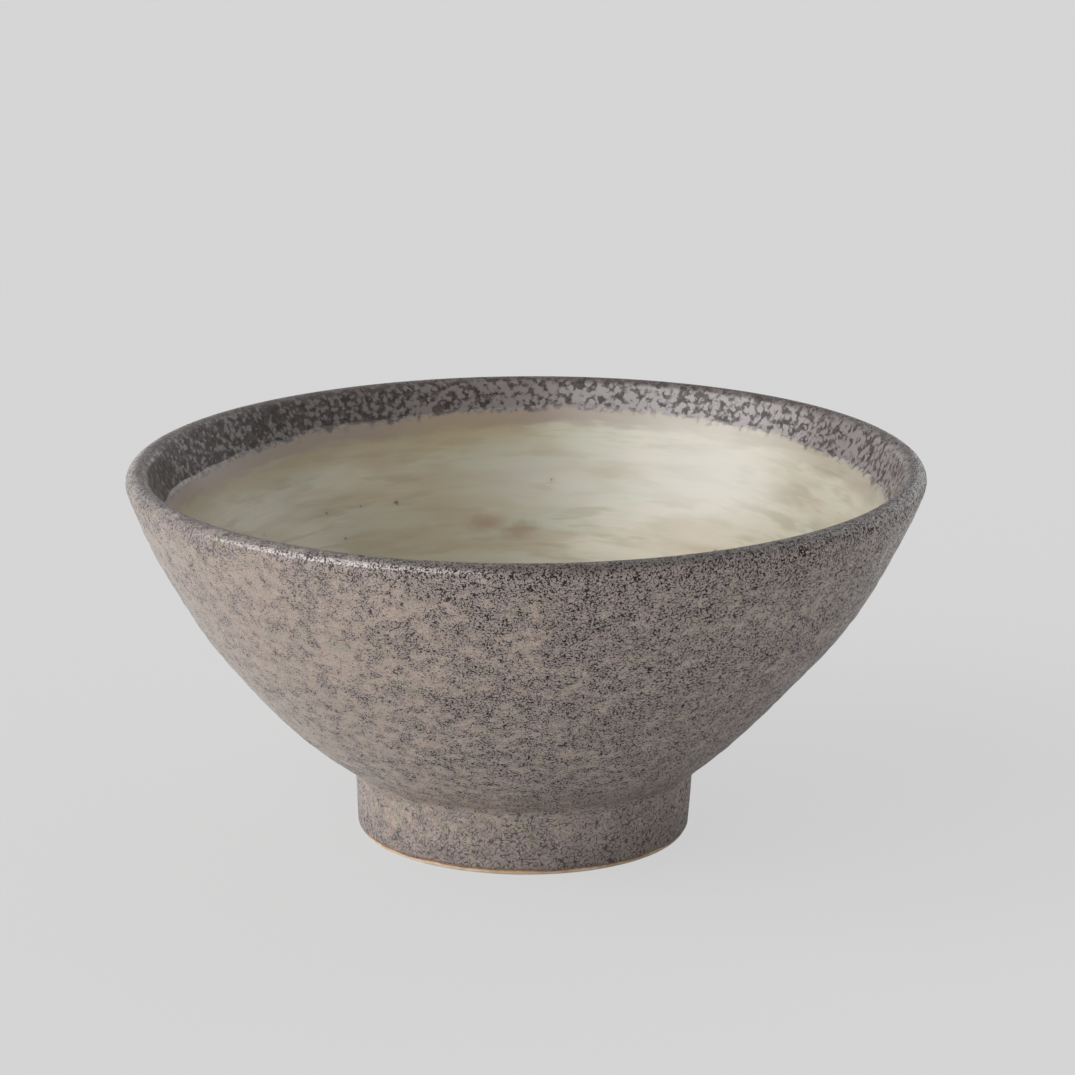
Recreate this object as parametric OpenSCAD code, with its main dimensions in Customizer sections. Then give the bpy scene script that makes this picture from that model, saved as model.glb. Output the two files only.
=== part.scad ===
// A footed stoneware noodle bowl, turned about Z, resting on Z = 0.
// The clay bowl and its foot ring carry six coats of glaze, each a thin shell of its own.
// Every outline is drawn in the plane of radius and height, then turned round the axis.

/* [Bowl] */
// Widest diameter, over the glaze at the lip
rim_d = 200; // [170:1:230]
// Height from the table to the highest point of the lip
bowl_h = 96; // [86:0.5:115]
// Radius of the curve that the outside of the wall follows
wall_curve_r = 160; // [140:1:190]
// Radius of the curve that the inside of the wall follows
inside_curve_r = 152; // [135:1:165]

/* [Clay] */
// Thickness of the clay at the rounded lip
lip_t = 5; // [4:0.1:6.5]
// Thickness of the clay halfway up the wall
wall_t = 5.8; // [4.5:0.1:7]
// Thickness of the clay floor
floor_t = 8; // [6:0.1:10]
// Radius that carries the flat floor into the wall, inside
floor_blend_r = 46; // [30:1:60]
// Radius that carries the flat base into the wall, underneath
base_blend_r = 22; // [14:1:25]

/* [Foot] */
// Diameter of the foot where it meets the wall, over the glaze
foot_d = 86; // [78:1:94]
// Height at which the foot meets the wall
foot_h = 17; // [15:0.5:20]
// How much smaller in radius the foot is at the table
foot_taper = 1; // [0:0.1:2]
// Thickness of the clay foot ring
foot_t = 6.5; // [4:0.1:9]
// Depth of the hollow under the base, inside the ring
well_h = 11; // [9:0.5:12.5]
// Rounding of the outer edge that stands on the table
foot_edge_r = 0.9; // [0.3:0.1:1.2]
// Rounding of the inner edge that stands on the table
foot_inner_edge_r = 1.1; // [0.3:0.1:1.4]

/* [Glaze] */
// Thickness of the speckled coats on the wall, lip, foot and well
speckled_t = 0.5; // [0.3:0.05:0.9]
// Thickness of the pale coat inside
pale_t = 0.6; // [0.3:0.05:1]
// Thickness where the pale coat runs over the speckled one
overlap_t = 0.7; // [0.4:0.05:1.1]
// How far the lip coat reaches down the outside, along the surface from the crown
lip_reach_out = 3.1; // [2:0.1:10]
// How far the lip coat reaches down the inside, along the surface from the crown
lip_reach_in = 10; // [5:0.1:16]
// Width of the band where the two coats overlap
overlap_w = 6; // [3:0.1:12]
// Height of the bare clay strip round the foot
bare_h = 1.3; // [1.2:0.1:3]
// Height of the bare clay strip inside the foot
well_bare_h = 2; // [1.5:0.1:4]

/* [Hidden] */
$fn = 180;

CLAY = [0.86, 0.80, 0.70];
SPECKLED = [0.47, 0.42, 0.39];
SPECKLED_LIP = [0.36, 0.32, 0.31];
OVERLAP = [0.60, 0.54, 0.49];
PALE = [0.72, 0.70, 0.61];

// Spacing of the stations along the nearly straight walls
wall_step = 4;
// Spacing of the stations round the lip
lip_step = 0.5;
// Spacing of the stations round the floor's blend
blend_step = 2.5;
// Stations closer than this to the end of a coat are left out of it
station_gap = 0.2;
// Steps across the seat of the foot ring, and across the curve of the base beside it
seat_steps = 6;
// Steps round a small rounded edge
edge_steps = 5;

// A unit vector at an angle
function dir(a) = [cos(a), sin(a)];
// The angle of a vector
function angle_of(v) = atan2(v.y, v.x);
// The turn, in degrees, of a length along an arc
function turn(len, r) = len / r * 180 / PI;
// The length of an arc that turns by an angle
function arc_len(r, a) = r * a * PI / 180;
// A list back to front
function reversed(list) = [for (i = [len(list) - 1 : -1 : 0]) list[i]];
// A list without its first point, for a line that starts where another ends
function onward(list) = [for (i = [1 : len(list) - 1]) list[i]];
// The left-hand point that lies rp from p and rq from q
function apart(p, rp, q, rq) =
    let (d = q - p, l = norm(d), a = (rp * rp - rq * rq + l * l) / (2 * l),
         h = sqrt(rp * rp - a * a))
    p + a * d / l + h * [-d.y, d.x] / l;

// The lip is a full round of clay: its centre, which both wall curves run into
lip_r = lip_t / 2;
lip_c = [rim_d / 2 - speckled_t - lip_r, bowl_h - speckled_t - lip_r];

// The point of the clay where the wall meets the outside of the foot
joint = [foot_d / 2 - speckled_t, foot_h];

// The outside curve runs through that point and into the lip
out_c = apart(joint, wall_curve_r, lip_c, wall_curve_r - lip_r);
out_lip_a = angle_of(lip_c - out_c);
out_joint_a = angle_of(joint - out_c);

// The inside curve runs into the lip and leaves wall_t of clay halfway up
half_a = (out_lip_a + out_joint_a) / 2;
half_wall = out_c + (wall_curve_r - wall_t) * dir(half_a);
in_c = apart(half_wall, inside_curve_r, lip_c, inside_curve_r + lip_r);
in_lip_a = angle_of(lip_c - in_c);

// The floor is flat in the middle and blends into the inside curve
base_z = well_h + speckled_t;
floor_z = base_z + floor_t;
floor_c = let (z = floor_z + floor_blend_r, r = inside_curve_r - floor_blend_r)
    [in_c.x + sqrt(r * r - (z - in_c.y) * (z - in_c.y)), z];
in_floor_a = angle_of(floor_c - in_c);

// The base is flat in the middle too and blends into the outside curve
base_c = let (z = base_z + base_blend_r, r = wall_curve_r - base_blend_r)
    [out_c.x + sqrt(r * r - (z - out_c.y) * (z - out_c.y)), z];
out_base_a = angle_of(base_c - out_c);

// Lengths along the skin of the clay, counted from the crown of the lip
out_lip_len = arc_len(lip_r, 90 - out_lip_a);
out_len = out_lip_len + arc_len(wall_curve_r, out_lip_a - out_joint_a);
in_lip_len = arc_len(lip_r, in_lip_a + 90);
in_wall_len = in_lip_len + arc_len(inside_curve_r, in_lip_a - in_floor_a);
in_blend_len = in_wall_len + arc_len(floor_blend_r, in_floor_a + 90);
in_len = in_blend_len + floor_c.x;

// The point t outside an arc of radius r about c, at a length of way clockwise from its angle a
function off_arc(c, r, t, a, way) = c + (r + t) * dir(a - turn(way, r));
// A point t off the clay, s along its skin: minus s runs outside to the foot, plus s inside to the axis
function skin(s, t) =
    s < -out_lip_len ? off_arc(out_c, wall_curve_r, t, out_lip_a, -s - out_lip_len)
    : s < in_lip_len ? off_arc(lip_c, lip_r, t, 90, -s)
    : s < in_wall_len ? off_arc(in_c, inside_curve_r, -t, in_lip_a, s - in_lip_len)
    : s < in_blend_len ? off_arc(floor_c, floor_blend_r, -t, in_floor_a, s - in_wall_len)
    : [max(0, in_len - s), floor_z + t];

// Even steps from a to b, both ends in, no longer than step
function spread(a, b, step) =
    let (n = max(1, ceil(abs(b - a) / step))) [for (i = [0 : n]) a + (b - a) * i / n];
stations = concat(spread(-out_len, -out_lip_len, wall_step), spread(-out_lip_len, in_lip_len, lip_step),
                  spread(in_lip_len, in_wall_len, wall_step), spread(in_wall_len, in_blend_len, blend_step));

// The skin from s0 to s1 at an offset of t
function skin_line(s0, s1, t) =
    let (between = [for (s = stations) if (s > s0 + station_gap && s < s1 - station_gap) s])
    [for (i = [0 : len(between) + 1])
        let (s = i == 0 ? s0 : i > len(between) ? s1 : between[i - 1])
        if (i == 0 || i > len(between) || i == 1 || s - between[i - 2] > station_gap) skin(s, t)];

// The coats end at these lengths along the skin
overlap_s = lip_reach_in;
pale_s = overlap_s + overlap_w;

// The underside of the clay bowl at a radius, t off the clay
function under_z(r, t) =
    let (blend_end = out_c.x + (wall_curve_r + t) * cos(out_base_a))
    r <= base_c.x ? base_z - t
    : r < blend_end ? base_c.y - sqrt(pow(base_blend_r + t, 2) - pow(r - base_c.x, 2))
    : out_c.y - sqrt(pow(wall_curve_r + t, 2) - pow(r - out_c.x, 2));

// The inner radius of the foot ring
ring_in_r = joint.x - foot_t;
// The underside from the axis out to a radius
function under_line(r_end, t) =
    let (flat = min(base_c.x, r_end))
    concat([[0, base_z - t]], [for (i = [0 : seat_steps])
        let (r = flat + (r_end - flat) * i / seat_steps) [r, under_z(r, t)]]);
// The seat of the foot ring, from its inner face to the wall joint
seat_line = [for (i = [0 : seat_steps])
    let (r = ring_in_r + foot_t * i / seat_steps) [r, i == seat_steps ? joint.y : under_z(r, 0)]];

// The outer face of the clay foot at a height, straight from the wall joint to the table
function foot_x(z) = joint.x - foot_taper * (joint.y - z) / joint.y;
outer_edge_r = min(foot_edge_r, bare_h);
inner_edge_r = min(foot_inner_edge_r, well_bare_h);

// A quarter round of radius r about a centre, from angle a to angle b
function round_line(c, r, a, b) = [for (i = [0 : edge_steps]) c + r * dir(a + (b - a) * i / edge_steps)];

// The corner where the skins of the wall coat and the foot coat cross
coat_corner = [joint.x + speckled_t, under_z(joint.x + speckled_t, speckled_t)];

// Turns an outline in radius and height round the axis
module turned(outline) {
    rotate_extrude()
        polygon(outline);
}

// A coat of glaze over the skin from s0 to s1
module coat(s0, s1, t) {
    turned(concat(skin_line(s0, s1, 0), reversed(skin_line(s0, s1, t))));
}

module bowl_body() {
    underside = concat(under_line(ring_in_r, 0), onward(seat_line));
    outside = onward(skin_line(-out_len, -lip_reach_out, 0));
    lip = onward(skin_line(-lip_reach_out, overlap_s, 0));
    inside = concat(onward(skin_line(overlap_s, pale_s, 0)), onward(skin_line(pale_s, in_len, 0)));
    color(CLAY)
        turned(concat(underside, outside, lip, inside));
}

module foot_ring() {
    outer_c = [foot_x(outer_edge_r) - outer_edge_r, outer_edge_r];
    inner_c = [ring_in_r + inner_edge_r, inner_edge_r];
    color(CLAY)
        turned(concat(seat_line, [[foot_x(bare_h), bare_h]], round_line(outer_c, outer_edge_r, 0, -90),
                      round_line(inner_c, inner_edge_r, -90, -180), [[ring_in_r, well_bare_h]]));
}

module wall_glaze() {
    clay_side = concat([joint], onward(skin_line(-out_len, -lip_reach_out, 0)));
    open_side = concat([coat_corner], onward(skin_line(-out_len, -lip_reach_out, speckled_t)));
    color(SPECKLED)
        turned(concat(clay_side, reversed(open_side)));
}

module foot_glaze() {
    roll_z = bare_h + speckled_t;
    roll_c = [foot_x(roll_z), roll_z];
    color(SPECKLED)
        turned(concat([joint, [foot_x(bare_h), bare_h]], onward(round_line(roll_c, speckled_t, -90, 0)),
                      [coat_corner]));
}

module rim_glaze() {
    color(SPECKLED_LIP)
        coat(-lip_reach_out, overlap_s, speckled_t);
}

module overlap_glaze() {
    color(OVERLAP)
        coat(overlap_s, pale_s, overlap_t);
}

module inside_glaze() {
    color(PALE)
        coat(pale_s, in_len, pale_t);
}

module well_glaze() {
    roll_c = [ring_in_r, well_bare_h + speckled_t];
    color(SPECKLED)
        turned(concat(under_line(ring_in_r, 0), [[ring_in_r, well_bare_h]],
                      onward(round_line(roll_c, speckled_t, -90, -180)),
                      reversed(under_line(ring_in_r - speckled_t, speckled_t))));
}

bowl_body();
foot_ring();
wall_glaze();
foot_glaze();
rim_glaze();
overlap_glaze();
inside_glaze();
well_glaze();
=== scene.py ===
"""A footed stoneware noodle bowl: speckled glaze outside, a mottled lip and a pale brushed glaze inside."""

from __future__ import annotations

import logging
import math
from dataclasses import dataclass, field
from enum import Enum

import bpy
import numpy as np
from mathutils import Matrix, Vector


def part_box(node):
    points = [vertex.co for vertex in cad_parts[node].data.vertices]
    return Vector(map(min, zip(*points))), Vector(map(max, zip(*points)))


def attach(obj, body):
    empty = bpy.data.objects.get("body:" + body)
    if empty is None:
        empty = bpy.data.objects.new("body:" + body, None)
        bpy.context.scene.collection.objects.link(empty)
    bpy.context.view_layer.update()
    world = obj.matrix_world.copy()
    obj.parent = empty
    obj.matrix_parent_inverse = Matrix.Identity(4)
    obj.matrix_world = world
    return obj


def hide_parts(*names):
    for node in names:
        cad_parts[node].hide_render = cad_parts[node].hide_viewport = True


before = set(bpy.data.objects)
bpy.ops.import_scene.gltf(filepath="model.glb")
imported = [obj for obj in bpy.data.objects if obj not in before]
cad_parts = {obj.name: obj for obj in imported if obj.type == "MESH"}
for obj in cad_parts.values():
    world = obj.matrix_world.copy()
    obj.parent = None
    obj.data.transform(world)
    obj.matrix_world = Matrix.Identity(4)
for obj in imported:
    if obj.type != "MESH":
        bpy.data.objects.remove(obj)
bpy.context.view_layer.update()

MM = 0.001
FULL_TURN = 2.0 * math.pi
UP, DOWN = math.pi / 2.0, -math.pi / 2.0
SAME_POINT = 0.001 * MM
SAME_LENGTH_DIGITS = 7
SQUARE_EDGE = math.radians(50.0)
WAVE_SHARES = (0.6, 1.0)
NOISE_MIDDLE = 0.5
DISPLAY_MAX = 255.0
SRGB_KNEE, SRGB_SLOPE, SRGB_OFFSET, SRGB_POWER = 0.04045, 12.92, 0.055, 2.4
BODY = "root"
SKIN_ATTRIBUTE = "skin_place"
EDGE_ATTRIBUTE = "below_edge"
FLOAT, VECTOR, COLOUR = "NodeSocketFloat", "NodeSocketVector", "NodeSocketColor"

Array = np.ndarray
Tree = bpy.types.NodeTree
Piece = bpy.types.Object
Knots = tuple[tuple[float, float], ...]
Span = tuple[float, ...]
Colour = tuple[float, float, float, float]

log = logging.getLogger("bowl")


class Topology(Enum):
    """How the rows of a turned mesh close."""

    RING = "ring"
    CAPPED = "capped"


def smooth_between(low: float, high: float, value: Array) -> Array:
    """Eases from 0 at low to 1 at high."""
    share = np.clip((value - low) / (high - low), 0.0, 1.0)
    return share * share * (3.0 - 2.0 * share)


def through(knots: Knots, where: Array) -> Array:
    """Draws a smooth curve through measured places and reads it off.

    Args:
        knots: Pairs of a place and the value there.
        where: The places to read.

    Returns:
        The values.
    """
    at, value = np.array(knots, dtype=float).T
    slope = np.gradient(value, at)
    place = np.clip(where, at[0], at[-1])
    low = np.clip(np.searchsorted(at, place, side="right") - 1, 0, len(at) - 2)
    gap = at[low + 1] - at[low]
    t = (place - at[low]) / gap
    rise = (3.0 - 2.0 * t) * t * t
    bend = gap * (slope[low] * t * (1.0 - t) ** 2 - slope[low + 1] * t * t * (1.0 - t))
    return value[low] + (value[low + 1] - value[low]) * rise + bend


@dataclass(frozen=True)
class Waves:
    """Whole waves round the bowl, so many to a turn, whose phases and shares the seed picks."""

    height: float
    counts: tuple[int, ...]
    seed: int

    def at(self, angle: Array) -> Array:
        """Gives the waves' height.

        Args:
            angle: Angles round the bowl, in radians.

        Returns:
            The height at every angle.
        """
        source = np.random.default_rng(self.seed)
        total = np.zeros_like(angle)
        for count in self.counts:
            phase, share = source.uniform(0.0, FULL_TURN), source.uniform(*WAVE_SHARES)
            total = total + share * np.sin(count * angle + phase)
        return self.height * total / math.sqrt(len(self.counts))


@dataclass(frozen=True)
class Line:
    """An outline in the plane of radius and height, walked by its own length.

    Attributes:
        points: Rows of radius and height, close together.
        start: The length at the first point.
        side: 1.0 where the open side lies left of the way along the points, or -1.0.
    """

    points: Array
    start: float = 0.0
    side: float = 1.0

    def lengths(self) -> Array:
        """Gives the length at every point."""
        steps = np.hypot(*np.diff(self.points, axis=0).T)
        return self.start + np.concatenate([[0.0], np.cumsum(steps)])

    def end(self) -> float:
        """Gives the length at the last point."""
        return float(self.lengths()[-1])

    def at(self, length: Array, lift: Array | float = 0.0) -> tuple[Array, Array]:
        """Finds points off the line.

        Args:
            length: How far along the line each point is.
            lift: How far each point stands off the line, towards its open side.

        Returns:
            The radius and the height of each point.
        """
        known = self.lengths()
        way = np.gradient(self.points, known, axis=0)
        way = way / np.hypot(way[:, 0], way[:, 1])[:, None]
        radius, height = (np.interp(length, known, column) for column in self.points.T)
        out_z, out_r = (self.side * np.interp(length, known, column) for column in way.T)
        return radius - lift * out_r, height + lift * out_z


def joined(*stretches: Array) -> Array:
    """Joins stretches of an outline, each of which may start where the one before it ends.

    Args:
        *stretches: Rows of radius and height.

    Returns:
        All the rows, without points that come twice.
    """
    points = np.concatenate(stretches)
    apart = np.hypot(*np.diff(points, axis=0).T)
    return points[np.concatenate([[True], apart > SAME_POINT])]


def arc_points(centre: Vector, radius: float, start: float, end: float, step: float) -> Array:
    """Lists points along an arc.

    Args:
        centre: Its centre, as radius and height.
        radius: Its radius.
        start: The angle that it starts at, in radians.
        end: The angle that it ends at.
        step: The longest distance from point to point.

    Returns:
        Rows of radius and height.
    """
    count = max(2, math.ceil(abs(end - start) * radius / step) + 1)
    angle = np.linspace(start, end, count)
    return np.stack([centre[0] + radius * np.cos(angle), centre[1] + radius * np.sin(angle)], axis=1)


def rounded_line(corners: list[tuple[float, float, float]], step: float) -> Array:
    """Rounds the corners of a line of straight stretches.

    Args:
        corners: The radius, the height and the rounding of each corner.
        step: The longest distance from point to point.

    Returns:
        Rows of radius and height.
    """
    parts = [np.array([corners[0][:2]])]
    for before, here, after in zip(corners, corners[1:], corners[2:]):
        point, back, on = Vector(here[:2]), Vector(before[:2]), Vector(after[:2])
        into, out = (point - back).normalized(), (on - point).normalized()
        turn = into.angle_signed(out)
        first = point - into * here[2] * math.tan(abs(turn) / 2.0)
        left = Vector((-into.y, into.x)) * (-1.0 if turn > 0.0 else 1.0)
        centre = first + left * here[2]
        begin = angle_to(centre, first)
        parts.append(arc_points(centre, here[2], begin, begin - turn, step))
    known = np.concatenate([*parts, np.array([corners[-1][:2]])])
    run = Line(known).lengths()
    every = np.unique(np.concatenate([run, np.arange(0.0, run[-1], step)]).round(SAME_LENGTH_DIGITS))
    return np.stack([np.interp(every, run, column) for column in known.T], axis=1)


def left_meeting(p: Vector, from_p: float, q: Vector, from_q: float) -> Vector:
    """Finds the left-hand point at given distances from two others.

    Args:
        p: The first point.
        from_p: The distance from it.
        q: The second point.
        from_q: The distance from that.

    Returns:
        The point left of the way from the first to the second.
    """
    way = q - p
    apart = way.length
    along = (from_p**2 - from_q**2 + apart**2) / (2.0 * apart)
    across = math.sqrt(from_p**2 - along**2)
    return p + way * along / apart + Vector((-way.y, way.x)) * across / apart


def angle_to(centre: Vector, point: Vector) -> float:
    """Gives the angle of a point seen from a centre, in radians."""
    return math.atan2(point.y - centre.y, point.x - centre.x)


@dataclass
class ThrownForm:
    """The outline of the clay as it left the wheel, from the solids, and how it moved in the fire.

    Attributes:
        rim_r, top_z: The outer radius and the height of the whole bowl.
        joint_r, joint_z: Where wall and foot ring meet outside.
        base_z, floor_z: The heights of the base below and of the glazed floor inside.
        ring_in_r: The foot ring's inner radius.
        speckled_t, pale_t, overlap_t: The coats' thicknesses.
        lip_t, wall_t: The clay's thickness at the lip and in the middle of the wall.
        wall_curve_r, inside_curve_r: The arcs of the wall outside and inside.
        floor_blend_r, base_blend_r: The arcs from those into the floor and into the base.
        foot_taper, foot_edge_r, foot_inner_edge_r: How the foot narrows, and the rounding of its edges.
        tilt_x, tilt_y, twist: How the rim rises towards each side.
        rim_drop, rim_play: The room that is left to the solids' box.
        lean, swell: How far the axis and the radius move, in mm, by the height in mm.
        pool_r: The rounding of the glaze in the corner between wall and foot.
        lead: How far the skin's outline starts before the joint.
        step: The distance between an outline's points.
        centre_r: How near to the axis the meshes' rows begin.
        joint_s: The length along the skin at the joint.
        half_turn: Half the angle between wall and foot.
        skin, underside, ring, well: The outlines.
    """

    rim_r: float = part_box("wall_glaze")[1].x
    top_z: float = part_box("rim_glaze")[1].z
    joint_r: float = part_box("foot_ring")[1].x
    joint_z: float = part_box("foot_ring")[1].z
    base_z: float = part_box("bowl_body")[0].z
    floor_z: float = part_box("inside_glaze")[0].z
    ring_in_r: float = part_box("well_glaze")[1].x
    speckled_t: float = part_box("foot_glaze")[1].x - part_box("foot_ring")[1].x
    pale_t: float = 0.6 * MM
    overlap_t: float = 0.7 * MM
    lip_t: float = 5.0 * MM
    wall_t: float = 5.8 * MM
    wall_curve_r: float = 160.0 * MM
    inside_curve_r: float = 152.0 * MM
    floor_blend_r: float = 46.0 * MM
    base_blend_r: float = 22.0 * MM
    foot_taper: float = 1.0 * MM
    foot_edge_r: float = 0.9 * MM
    foot_inner_edge_r: float = 1.1 * MM
    tilt_x: float = 0.0112
    tilt_y: float = 0.001
    twist: float = 0.0011
    rim_drop: float = 0.05 * MM
    rim_play: float = 0.04 * MM
    lean: Knots = (
        (0.0, -0.12), (17.0, -0.2), (24.0, -1.0), (41.0, -1.4), (52.0, -0.9), (64.0, -0.3), (76.0, -0.34),
        (88.0, 0.0), (97.0, 0.0),
    )
    swell: Knots = (
        (0.0, 0.0), (17.0, 0.05), (22.0, 0.22), (30.0, 0.0), (38.0, -0.4), (44.0, -0.5), (54.0, 0.08),
        (66.0, 0.04), (97.0, 0.0),
    )
    pool_r: float = 4.5 * MM
    lead: float = 0.5 * MM
    step: float = 0.15 * MM
    centre_r: float = 0.5 * MM
    joint_s: float = field(init=False)
    half_turn: float = field(init=False)
    skin: Line = field(init=False)
    underside: Line = field(init=False)
    ring: Line = field(init=False)
    well: Line = field(init=False)

    def __post_init__(self) -> None:
        """Works out the arcs of the skin and the straight stretches of the foot."""
        lip_r, step = self.lip_t / 2.0, self.step
        drop = math.hypot(self.tilt_x, self.tilt_y) * self.rim_r
        crown_z = self.top_z - drop - self.rim_drop - self.speckled_t
        lip = Vector((self.rim_r - self.rim_play - self.speckled_t - lip_r, crown_z - lip_r))
        joint = Vector((self.joint_r, self.joint_z))
        out = left_meeting(joint, self.wall_curve_r, lip, self.wall_curve_r - lip_r)
        out_lip, out_joint = angle_to(out, lip), angle_to(out, joint)
        half = (out_lip + out_joint) / 2.0
        mid_wall = out + (self.wall_curve_r - self.wall_t) * Vector((math.cos(half), math.sin(half)))
        inside = left_meeting(mid_wall, self.inside_curve_r, lip, self.inside_curve_r + lip_r)
        in_lip = angle_to(inside, lip)
        floor = self._blend(inside, self.inside_curve_r, self.floor_z, self.floor_blend_r)
        in_floor = angle_to(inside, floor)
        outer = joined(
            arc_points(out, self.wall_curve_r, out_joint - self.lead / self.wall_curve_r, out_lip, step),
            arc_points(lip, lip_r, out_lip, UP, step),
        )
        inner = joined(
            arc_points(lip, lip_r, UP, in_lip + math.pi, step),
            arc_points(inside, self.inside_curve_r, in_lip, in_floor, step),
            arc_points(floor, self.floor_blend_r, in_floor, DOWN, step),
            np.array([[0.0, self.floor_z]]),
        )
        out_length = Line(outer).end()
        self.half_turn = abs(out_joint) / 2.0
        self.joint_s = self.lead - out_length
        self.skin = Line(joined(outer, inner), -out_length, -1.0)
        base = self._blend(out, self.wall_curve_r, self.base_z, self.base_blend_r)
        out_base = angle_to(out, base)
        under = joined(
            np.array([[0.0, self.base_z]]),
            arc_points(base, self.base_blend_r, DOWN, out_base, step),
            arc_points(out, self.wall_curve_r, out_base, out_joint, step),
        )
        self.underside = Line(under, 0.0, -1.0)
        seat_z = float(np.interp(self.ring_in_r, *under.T))
        corners = [
            (self.joint_r, self.joint_z, 0.0),
            (self.joint_r - self.foot_taper, 0.0, self.foot_edge_r),
            (self.ring_in_r, 0.0, self.foot_inner_edge_r),
            (self.ring_in_r, seat_z, 0.0),
        ]
        self.ring = Line(rounded_line(corners, step), 0.0, 1.0)
        down = np.array([[self.ring_in_r, seat_z], [self.ring_in_r, 0.0]])
        self.well = Line(np.concatenate([under[under[:, 0] < self.ring_in_r], down]), 0.0, -1.0)

    def _blend(self, centre: Vector, curve_r: float, level: float, blend_r: float) -> Vector:
        """Finds the arc that carries a flat into a wall's curve.

        Args:
            centre: The centre of the wall's curve.
            curve_r: Its radius.
            level: The height of the flat.
            blend_r: The radius of the arc between them.

        Returns:
            The centre of that arc.
        """
        height = level + blend_r
        reach = curve_r - blend_r
        return Vector((centre.x + math.sqrt(reach**2 - (height - centre.y) ** 2), height))

    def coat_shift(self) -> float:
        """Gives how far a coat's outside shifts the corner between wall and foot along the skin."""
        return self.speckled_t * math.tan(self.half_turn)

    def seam(self) -> tuple[float, float]:
        """Gives how far past the joint of the clay the coats meet, up the wall and down the foot."""
        middle = self.pool_r * (math.tan(self.half_turn) - math.sin(self.half_turn))
        return middle - self.coat_shift(), middle + self.coat_shift()

    def pool(self, away: Array) -> Array:
        """Gives how much glaze has gathered in the corner between wall and foot.

        Args:
            away: Lengths from the corner that even coats would have.

        Returns:
            The extra height, which rounds the corner off.
        """
        reach = self.pool_r * math.tan(self.half_turn)
        inner = np.clip(reach - away, 0.0, self.pool_r * math.sin(self.half_turn))
        return self.pool_r - np.sqrt(self.pool_r**2 - inner**2)

    def settle(self, radius: Array, height: Array, angle: Array) -> Array:
        """Turns radius and height into places, with the lean and the tilt that the bowl took in the fire.

        Args:
            radius: Distances from the axis.
            height: Heights above the table.
            angle: Angles round the axis, in radians.

        Returns:
            The places, with x, y and z last.
        """
        height = np.maximum(height, 0.0)
        radius = radius + through(self.swell, height / MM) * MM
        x = radius * np.cos(angle) + through(self.lean, height / MM) * MM
        y = radius * np.sin(angle)
        tilted = self.tilt_x * x + self.tilt_y * y + self.twist * x * y / self.rim_r
        return np.stack([x, y, height + tilted * (height / self.top_z) ** 2], axis=-1)


@dataclass(frozen=True)
class Ripple:
    """The faint rings that the fingers left, beating round the bowl.

    Attributes:
        height, pitch: How high they are, and how far apart.
        second, second_starts: A closer spiral: how much closer, and how many rings begin it.
        second_share, second_phase: How strong that is, and where it begins.
        level, beat: The strength of the rings, and how much it changes.
        beat_turns, beat_rise: How often it changes round the bowl and up it.
        outside, inside: From where to where they fade in, below the crown.
        inside_share: How much fainter they are inside.
    """

    height: float = 0.07 * MM
    pitch: float = 6.5 * MM
    second: float = 1.7
    second_starts: float = 2.0
    second_share: float = 0.5
    second_phase: float = 1.0
    level: float = 0.65
    beat: float = 0.35
    beat_turns: float = 3.0
    beat_rise: float = 40.0
    outside: Span = (6.0 * MM, 16.0 * MM)
    inside: Span = (14.0 * MM, 30.0 * MM)
    inside_share: float = 0.6

    def at(self, length: Array, angle: Array, top_z: float) -> Array:
        """Gives the height of the rings.

        Args:
            length: Lengths from the crown of the lip.
            angle: Angles round the bowl.
            top_z: The bowl's height.

        Returns:
            The heights.
        """
        turn = FULL_TURN / self.pitch
        swell = self.level + self.beat * np.sin(self.beat_turns * angle + self.beat_rise * length / top_z)
        closer = np.sin(self.second * turn * length + self.second_starts * angle + self.second_phase)
        rings = np.sin(turn * length + angle) + self.second_share * closer
        inside = self.inside_share * smooth_between(*self.inside, length)
        return self.height * swell * rings * (smooth_between(*self.outside, -length) + inside)


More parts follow.
